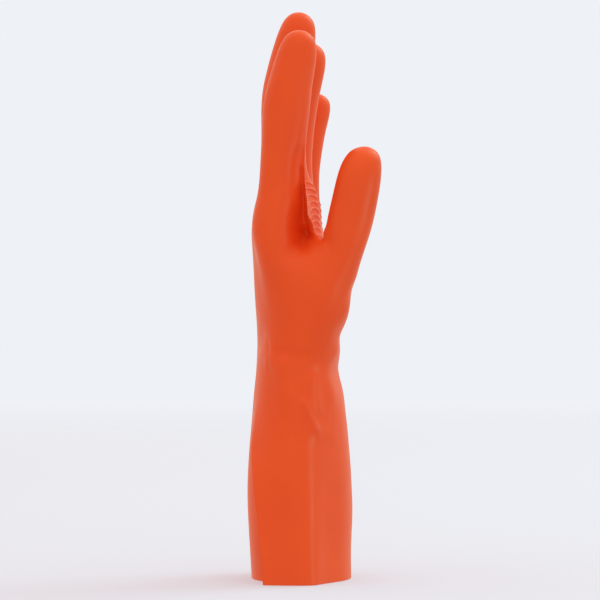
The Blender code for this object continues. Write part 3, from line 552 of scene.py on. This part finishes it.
def build_fingers(mesh, top):
    """The webs between the fingers, and the fingers, from the palm's top row."""
    last = len(FINGERS) - 1
    sides = []
    for finger in FINGERS:
        y, half = finger_base_y(finger), finger_base_half(finger)
        sides.append([y - half, y + half])
    webs = []
    for number in range(last):
        middle = (sides[number][1] + sides[number + 1][0]) / 2
        low = (FINGERS[number]["low"] + FINGERS[number + 1]["low"]) / 2
        z = CUFF_LENGTH + PALM_LENGTH * (PALM_ROWS[-1]["rise"] - low) + WEB_RISE
        ends = [middle - WEB_GAP / 2, middle + WEB_GAP / 2]
        webs.append([mesh.verts.new(Vector((hand_middle(y), y, z))) for y in ends])
    for number, (left, right) in enumerate(webs):
        back = FINGER_COLUMNS * (number + 1)
        pad = COLUMNS - back
        mesh.faces.new((top[back], top[back + 1], right, left))
        mesh.faces.new((left, right, top[pad - 1], top[pad]))
    for number in range(len(FINGERS)):
        back = FINGER_COLUMNS * number + 1
        pad = COLUMNS - back + 1
        low_side = top[0] if number == 0 else webs[number - 1][1]
        high_side = top[FAR_COLUMN] if number == last else webs[number][0]
        base = [low_side, *top[back:back + FINGER_COLUMNS], high_side, *top[pad - FINGER_COLUMNS:pad]]
        build_finger(mesh, number, base)


def thumb_point(row):
    """The middle of one of the thumb's rings."""
    return THUMB_ROOT + Vector((row["out"], row["aside"], row["up"])) * THUMB_LENGTH


def thumb_ring(row):
    """The points of a ring of the thumb, from its outer thumb-side corner round by the palm."""
    reach = THUMB_THICKNESS / 2 * ring_gain(THUMB_SIDES)
    lean = math.radians(row["lean"])
    along = Vector((math.sin(lean), 0, math.cos(lean))) * math.cos(THUMB_SPREAD)
    along.y = -math.sin(THUMB_SPREAD)
    out = Vector((1, 0, 0)) - along * along.x
    out.normalize()
    across = along.cross(out)
    points = []
    for step in range(THUMB_SIDES):
        angle = 2 * math.pi * (step - THUMB_PHASE) / THUMB_SIDES
        points.append(thumb_point(row) + out * (math.cos(angle) * reach * row["thick"])
                      + across * (math.sin(angle) * reach * row["wide"]))
    return points


def build_thumb(mesh, rows):
    """Rings from the thumb's opening to its tip. rows are the palm's rows of vertices."""
    low, high = rows[THUMB_LOW_ROW], rows[THUMB_HIGH_ROW]
    first, last = THUMB_COLUMNS[0], THUMB_COLUMNS[-1]
    between = range(THUMB_LOW_ROW + 1, THUMB_HIGH_ROW)
    ring = [low[c] for c in reversed(THUMB_COLUMNS)]
    ring += [rows[r][first] for r in between]
    ring += [high[c] for c in THUMB_COLUMNS]
    ring += [rows[r][last] for r in reversed(between)]
    rings = [thumb_ring(row) for row in THUMB_ROWS]
    rings.insert(0, [edge.co.lerp(point, THUMB_BLEND) for edge, point in zip(ring, rings[0])])
    for points in rings:
        after = add_ring(mesh, points)
        bridge(mesh, ring, after)
        ring = after
    cap(mesh, ring, thumb_point(THUMB_TIP))


def crease_pleat(mesh, rows):
    """Sharpens the pleat's crest where it leaves the cuff's edge."""
    crease = mesh.edges.layers.float.new("crease_edge")
    for low, high, row in zip(rows, rows[1:], SLEEVE_ROWS):
        edge = mesh.edges.get((low[PLEAT_COLUMN], high[PLEAT_COLUMN]))
        edge[crease] = PLEAT_CREASE * row["pleat"] ** 0.5


def build_cage():
    """The glove's control cage as a bmesh: one open surface, its mouth at the cuff's edge."""
    mesh = bmesh.new()
    sleeve = [add_ring(mesh, sleeve_row(row)) for row in SLEEVE_ROWS]
    palm = [add_ring(mesh, palm_row(row)) for row in PALM_ROWS]
    rows = sleeve + palm
    hole_rows = range(len(sleeve) + THUMB_LOW_ROW, len(sleeve) + THUMB_HIGH_ROW)
    for number in range(len(rows) - 1):
        for column in range(COLUMNS):
            if number in hole_rows and column in THUMB_COLUMNS[:-1]:
                continue
            after = (column + 1) % COLUMNS
            mesh.faces.new((rows[number][column], rows[number][after],
                            rows[number + 1][after], rows[number + 1][column]))
    build_fingers(mesh, palm[-1])
    build_thumb(mesh, palm)
    crease_pleat(mesh, sleeve)
    inside = [v for v in mesh.verts if not v.link_faces]
    bmesh.ops.delete(mesh, geom=inside, context="VERTS")
    bmesh.ops.recalc_face_normals(mesh, faces=mesh.faces)
    return mesh


def fold_lines(tree):
    """The folds as lines with an outward rise or a push, those on the sides laid on the sheet."""
    lines = []
    for fold in FOLDS + FINE_FOLDS:
        side = FOLD_SIDES[fold["side"]]
        ends = []
        for across, up in zip(fold["across"], fold["up"]):
            z = up * CUFF_LENGTH
            at = Vector((0, across * WRIST_WIDTH, z)) if side.x else Vector((across * WRIST_DEPTH, 0, z))
            hit, _, _, _ = tree.ray_cast(at + side * FAR_OUTSIDE, -side)
            ends.append(hit)
        rise = fold["rise"] * FOLD_DEPTH
        lines.append((ends[0], ends[1], rise, Vector((0, 0, 0)), fold["reach"] * WRIST_DEPTH))
    for fold in WEB_FOLDS + FINE_WEB_FOLDS:
        low, high = (THUMB_ROOT + Vector(fold[end]) * THUMB_THICKNESS for end in ("low", "high"))
        lines.append((low, high, 0.0, Vector(fold["push"]) * FOLD_DEPTH, fold["reach"] * THUMB_THICKNESS))
    return lines


def smooth_sheet(levels):
    """The cage as a smooth open sheet, as a mesh."""
    mesh = bpy.data.meshes.new("cage")
    cage = build_cage()
    cage.to_mesh(mesh)
    cage.free()
    holder = bpy.data.objects.new("cage", mesh)
    bpy.context.scene.collection.objects.link(holder)
    rounding = holder.modifiers.new("round", "SUBSURF")
    rounding.levels = rounding.render_levels = levels
    graph = bpy.context.evaluated_depsgraph_get()
    sheet = bpy.data.meshes.new_from_object(holder.evaluated_get(graph))
    bpy.data.objects.remove(holder, do_unlink=True)
    bpy.data.meshes.remove(mesh)
    return sheet


def surface_tree(mesh):
    """A search tree over a mesh's faces."""
    copy = bmesh.new()
    copy.from_mesh(mesh)
    tree = BVHTree.FromBMesh(copy)
    copy.free()
    return tree


def read_points(mesh):
    """A mesh's points, one to a row."""
    points = np.empty(len(mesh.vertices) * 3, np.float32)
    mesh.vertices.foreach_get("co", points)
    return points.reshape(-1, 3).astype(float)


def read_normals(mesh):
    """The outward directions at a mesh's points, one to a row."""
    normals = np.empty(len(mesh.vertices) * 3, np.float32)
    mesh.vertex_normals.foreach_get("vector", normals)
    return normals.reshape(-1, 3).astype(float)


def fold_shifts(points, normals, lines):
    """How the folds move each point."""
    total = np.zeros_like(points)
    for low, high, rise, push, reach in lines:
        start, span = np.array(low), np.array(high - low)
        share = np.clip((points - start) @ span / (span @ span), 0, 1)
        away = np.linalg.norm(points - start - share[:, None] * span, axis=1) / reach
        total += (normals * rise + np.array(push)) * np.exp(-away * away)[:, None]
    return total


def wave_heights(points):
    """The rubber's slow waviness."""
    return np.array([WAVE_HEIGHT * noise.noise(Vector(p) / WAVE_LENGTH) for p in points])


def shaped_sheet(levels, lines, inward):
    """A smooth sheet with its folds and waviness, moved inward by a distance."""
    sheet = smooth_sheet(levels)
    points, normals = read_points(sheet), read_normals(sheet)
    points += fold_shifts(points, normals, lines) + normals * wave_heights(points)[:, None]
    sheet.vertices.foreach_set("co", points.astype(np.float32).ravel())
    sheet.update()
    if inward:
        points -= read_normals(sheet) * inward
        sheet.vertices.foreach_set("co", points.astype(np.float32).ravel())
        sheet.update()
    return sheet


def mouth_loop(mesh, first):
    """The open edge's vertices in order, from those with an index of first or more."""
    edges = [e for e in mesh.edges if e.is_boundary and e.verts[0].index >= first]
    loop = [edges[0].verts[0], edges[0].verts[1]]
    while True:
        step = [e for e in loop[-1].link_edges if e.is_boundary and e.other_vert(loop[-1]) is not loop[-2]]
        after = step[0].other_vert(loop[-1])
        if after is loop[0]:
            return loop
        loop.append(after)


def build_skin():
    """The glove's two skins, joined by a rounded rim at the cuff's mouth, and the outer one alone."""
    lines = fold_lines(surface_tree(smooth_sheet(INNER_LEVELS)))
    outer = shaped_sheet(OUTER_LEVELS, lines, 0)
    inner = shaped_sheet(INNER_LEVELS, lines, WALL)
    skin = bmesh.new()
    skin.from_mesh(inner)
    bmesh.ops.reverse_faces(skin, faces=skin.faces)
    inner_count = len(skin.verts)
    skin.from_mesh(outer)
    skin.verts.ensure_lookup_table()
    skin.verts.index_update()
    skin.normal_update()
    rim = mouth_loop(skin, inner_count)
    starts = [(v.co.copy(), Vector((v.normal.x, v.normal.y, 0)).normalized()) for v in rim]
    ring = rim
    for step in range(1, RIM_STEPS):
        angle = math.pi * step / RIM_STEPS
        drop = Vector((0, 0, -math.sin(angle) * WALL / 2))
        points = [co - out * (WALL / 2 * (1 - math.cos(angle))) + drop for co, out in starts]
        after = add_ring(skin, points)
        bridge(skin, ring, after)
        ring = after
    skin.edges.ensure_lookup_table()
    open_edges = [e for e in skin.edges if e.is_boundary]
    bmesh.ops.bridge_loops(skin, edges=open_edges)
    bmesh.ops.recalc_face_normals(skin, faces=skin.faces)
    mesh = bpy.data.meshes.new("glove_skin")
    skin.to_mesh(mesh)
    skin.free()
    return mesh, outer


def rib_line(number, tree):
    """Points and outward directions along one rib, where the palm's face is open enough for it."""
    runs = [[]]
    for step in range(RIB_STEPS):
        y = RIB_MIDDLE + RIB_REACH * (2 * step / (RIB_STEPS - 1) - 1)
        drop = (1 - math.cos(math.tau * (y - RIB_CREST) / RIB_WAVE)) / 2
        z = RIB_TOP - RIB_PITCH * number - RIB_ARC * drop
        hit, normal, _, _ = tree.ray_cast(Vector((FAR_OUTSIDE, y, z)), Vector((-1, 0, 0)))
        if hit and normal.x > RIB_FACING and hit.x < THUMB_ROOT.x - RIB_THUMB_GAP:
            runs[-1].append((hit, normal))
        elif runs[-1]:
            runs.append([])
    longest = max(runs, key=len)
    return longest if len(longest) > 2 * RIB_FADE else []


def rib_profile(hit, normal, up, fade):
    """The points of a rib's section, a soft hump whose edges sink into the skin."""
    points = []
    for step in range(PROFILE_POINTS):
        across = 2 * step / (PROFILE_POINTS - 1) - 1
        height = RIB_HEIGHT * fade * (1 + math.cos(math.pi * across)) / 2 - PROFILE_SINK
        points.append(hit + up * (RIB_WIDTH * PROFILE_REACH * across) + normal * height)
    return points


def build_ribs(outer):
    """The palm's grip ribs as one mesh of closed humps."""
    tree = surface_tree(outer)
    ribs = bmesh.new()
    for number in range(RIB_COUNT):
        line = rib_line(number, tree)
        rings = []
        for index, (hit, normal) in enumerate(line):
            before, after = line[max(0, index - 1)][0], line[min(len(line) - 1, index + 1)][0]
            up = normal.cross((after - before).normalized()).normalized()
            end = min(index, len(line) - 1 - index) / RIB_FADE
            fade = math.sin(min(1.0, end) * math.pi / 2)
            rings.append(add_ring(ribs, rib_profile(hit, normal, up, fade)))
        for low, high in zip(rings, rings[1:]):
            bridge(ribs, low, high)
        if rings:
            ribs.faces.new(rings[0])
            ribs.faces.new(rings[-1])
    bmesh.ops.recalc_face_normals(ribs, faces=ribs.faces)
    mesh = bpy.data.meshes.new("grip_ribs")
    ribs.to_mesh(mesh)
    ribs.free()
    return mesh


def new_material(name):
    """A material, its nodes and its links."""
    material = bpy.data.materials.new(name)
    material.use_nodes = True
    return material, material.node_tree.nodes, material.node_tree.links


def rubber():
    """Satin orange rubber: slow changes of tone, a fine dipped grain and uneven gloss."""
    material, nodes, links = new_material("orange_rubber")
    surface = nodes["Principled BSDF"]
    place = nodes.new("ShaderNodeTexCoord")

    def noise_node(scale, detail, roughness=0.5):
        """A noise over the object's own coordinates."""
        node = nodes.new("ShaderNodeTexNoise")
        node.inputs["Scale"].default_value = scale
        node.inputs["Detail"].default_value = detail
        node.inputs["Roughness"].default_value = roughness
        links.new(place.outputs["Object"], node.inputs["Vector"])
        return node

    tone = noise_node(TONE_SCALE, 3)
    ramp = nodes.new("ShaderNodeValToRGB")
    for stop, position, colour in zip(ramp.color_ramp.elements, TONE_ENDS, (DARK_ORANGE, LIGHT_ORANGE)):
        stop.position = position
        stop.color = colour
    links.new(tone.outputs["Fac"], ramp.inputs["Fac"])
    links.new(ramp.outputs["Color"], surface.inputs["Base Color"])

    gloss = noise_node(GLOSS_SCALE, 4)
    spread = nodes.new("ShaderNodeMapRange")
    spread.inputs["To Min"].default_value = ROUGHNESS[0]
    spread.inputs["To Max"].default_value = ROUGHNESS[1]
    links.new(gloss.outputs["Fac"], spread.inputs["Value"])
    links.new(spread.outputs["Result"], surface.inputs["Roughness"])

    grain = noise_node(GRAIN_SCALE, 3, 0.6)
    drift = noise_node(DRIFT_SCALE, 2)
    both = nodes.new("ShaderNodeMath")
    both.operation = "MULTIPLY_ADD"
    both.inputs[1].default_value = DRIFT_SHARE
    links.new(drift.outputs["Fac"], both.inputs[0])
    links.new(grain.outputs["Fac"], both.inputs[2])
    bump = nodes.new("ShaderNodeBump")
    bump.inputs["Strength"].default_value = BUMP_STRENGTH
    bump.inputs["Distance"].default_value = BUMP_DISTANCE
    links.new(both.outputs["Value"], bump.inputs["Height"])
    links.new(bump.outputs["Normal"], surface.inputs["Normal"])

    surface.inputs["Specular IOR Level"].default_value = SPECULAR
    surface.inputs["Specular Tint"].default_value = SPECULAR_TINT
    return material


def place_piece(name, mesh, material):
    """A smooth-shaded piece of the glove that rides on its body and stands for its node."""
    mesh.materials.clear()
    mesh.materials.append(material)
    mesh.polygons.foreach_set("use_smooth", [True] * len(mesh.polygons))
    piece = bpy.data.objects.new(name, mesh)
    bpy.context.scene.collection.objects.link(piece)
    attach(piece, BODY)
    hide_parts(NODE)
    return piece


def build_camera():
    """The camera, level and square to the thumb's side, with the glove's place filling PICTURE_WIDTH."""
    data = bpy.data.cameras.new("camera")
    data.sensor_width = SENSOR
    data.lens = SENSOR * -CAMERA_PLACE.y / PICTURE_WIDTH
    camera = bpy.data.objects.new("camera", data)
    camera.location = CAMERA_PLACE
    camera.rotation_euler = (math.pi / 2, 0, 0)
    bpy.context.scene.collection.objects.link(camera)
    bpy.context.scene.camera = camera


def build_floor():
    """A pale round floor that the glove stands on, fading out into the surround."""
    material, nodes, links = new_material("floor")
    surface = nodes["Principled BSDF"]
    surface.inputs["Base Color"].default_value = FLOOR_COLOUR
    surface.inputs["Roughness"].default_value = FLOOR_ROUGHNESS
    surface.inputs["Specular IOR Level"].default_value = 0.0
    surface.inputs["Emission Color"].default_value = SURROUND
    surface.inputs["Emission Strength"].default_value = FLOOR_GLOW
    place = nodes.new("ShaderNodeTexCoord")
    length = nodes.new("ShaderNodeVectorMath")
    length.operation = "LENGTH"
    fade = nodes.new("ShaderNodeMapRange")
    fade.interpolation_type = "SMOOTHSTEP"
    fade.inputs["From Min"].default_value = FLOOR_FADE[0]
    fade.inputs["From Max"].default_value = FLOOR_FADE[1]
    fade.inputs["To Min"].default_value = 1.0
    fade.inputs["To Max"].default_value = 0.0
    links.new(place.outputs["Object"], length.inputs[0])
    links.new(length.outputs["Value"], fade.inputs["Value"])
    links.new(fade.outputs["Result"], surface.inputs["Alpha"])
    mesh = bpy.data.meshes.new("floor")
    disc = bmesh.new()
    bmesh.ops.create_circle(disc, cap_ends=True, segments=FLOOR_SIDES, radius=FLOOR_FADE[1])
    disc.to_mesh(mesh)
    disc.free()
    mesh.materials.append(material)
    floor = bpy.data.objects.new("floor", mesh)
    floor.location = (0, 0, FLOOR_HEIGHT)
    floor.visible_diffuse = False
    floor.visible_glossy = False
    bpy.context.scene.collection.objects.link(floor)


def build_surround():
    """A pale dome that only the camera sees."""
    material, nodes, links = new_material("surround")
    nodes.remove(nodes["Principled BSDF"])
    glow = nodes.new("ShaderNodeEmission")
    glow.inputs["Color"].default_value = SURROUND
    links.new(glow.outputs["Emission"], nodes["Material Output"].inputs["Surface"])
    mesh = bpy.data.meshes.new("surround")
    dome = bmesh.new()
    bmesh.ops.create_icosphere(dome, subdivisions=SURROUND_LEVELS, radius=SURROUND_RADIUS)
    dome.to_mesh(mesh)
    dome.free()
    mesh.materials.append(material)
    surround = bpy.data.objects.new("surround", mesh)
    surround.visible_diffuse = False
    surround.visible_glossy = False
    surround.visible_transmission = False
    surround.visible_shadow = False
    bpy.context.scene.collection.objects.link(surround)


def build_world():
    """The room's soft light, somewhat brighter behind the glove and above it, and dimmer at the sides."""
    world = bpy.data.worlds.new("studio")
    world.use_nodes = True
    bpy.context.scene.world = world
    nodes, links = world.node_tree.nodes, world.node_tree.links
    place = nodes.new("ShaderNodeTexCoord")
    lean = nodes.new("ShaderNodeVectorMath")
    lean.operation = "DOT_PRODUCT"
    lean.inputs[1].default_value = (0, ROOM_BACK, ROOM_TOP)
    level = nodes.new("ShaderNodeMath")
    level.inputs[1].default_value = ROOM_LEVEL
    axes = nodes.new("ShaderNodeSeparateXYZ")
    square = nodes.new("ShaderNodeMath")
    square.operation = "POWER"
    square.inputs[1].default_value = 2.0
    dim = nodes.new("ShaderNodeMath")
    dim.operation = "MULTIPLY_ADD"
    dim.inputs[1].default_value = -ROOM_SIDE
    background = nodes["Background"]
    background.inputs["Color"].default_value = ROOM_COLOUR
    links.new(place.outputs["Generated"], lean.inputs[0])
    links.new(place.outputs["Generated"], axes.inputs["Vector"])
    links.new(axes.outputs["X"], square.inputs[0])
    links.new(lean.outputs["Value"], level.inputs[0])
    links.new(square.outputs["Value"], dim.inputs[0])
    links.new(level.outputs["Value"], dim.inputs[2])
    links.new(dim.outputs["Value"], background.inputs["Strength"])


def build_lights():
    """Soft round lights aimed at the glove, at the camera's height or, those for gloss, at their own."""
    for name, place, size, power, colour, diffuse in LIGHTS:
        data = bpy.data.lights.new(name, "AREA")
        data.shape = "DISK"
        data.size = size
        data.energy = power
        data.color = colour
        light = bpy.data.objects.new(name, data)
        light.location = place
        aim = Vector((0, 0, CAMERA_PLACE.z if diffuse else place[2])) - Vector(place)
        light.rotation_euler = aim.to_track_quat("-Z", "Y").to_euler()
        light.visible_camera = False
        light.visible_diffuse = diffuse
        bpy.context.scene.collection.objects.link(light)


skin, outer = build_skin()
rubber_material = rubber()
place_piece("glove_skin", skin, rubber_material)
place_piece("grip_ribs", build_ribs(outer), rubber_material)
build_camera()
bpy.context.scene.view_settings.view_transform = "Standard"
build_floor()
build_surround()
build_world()
build_lights()
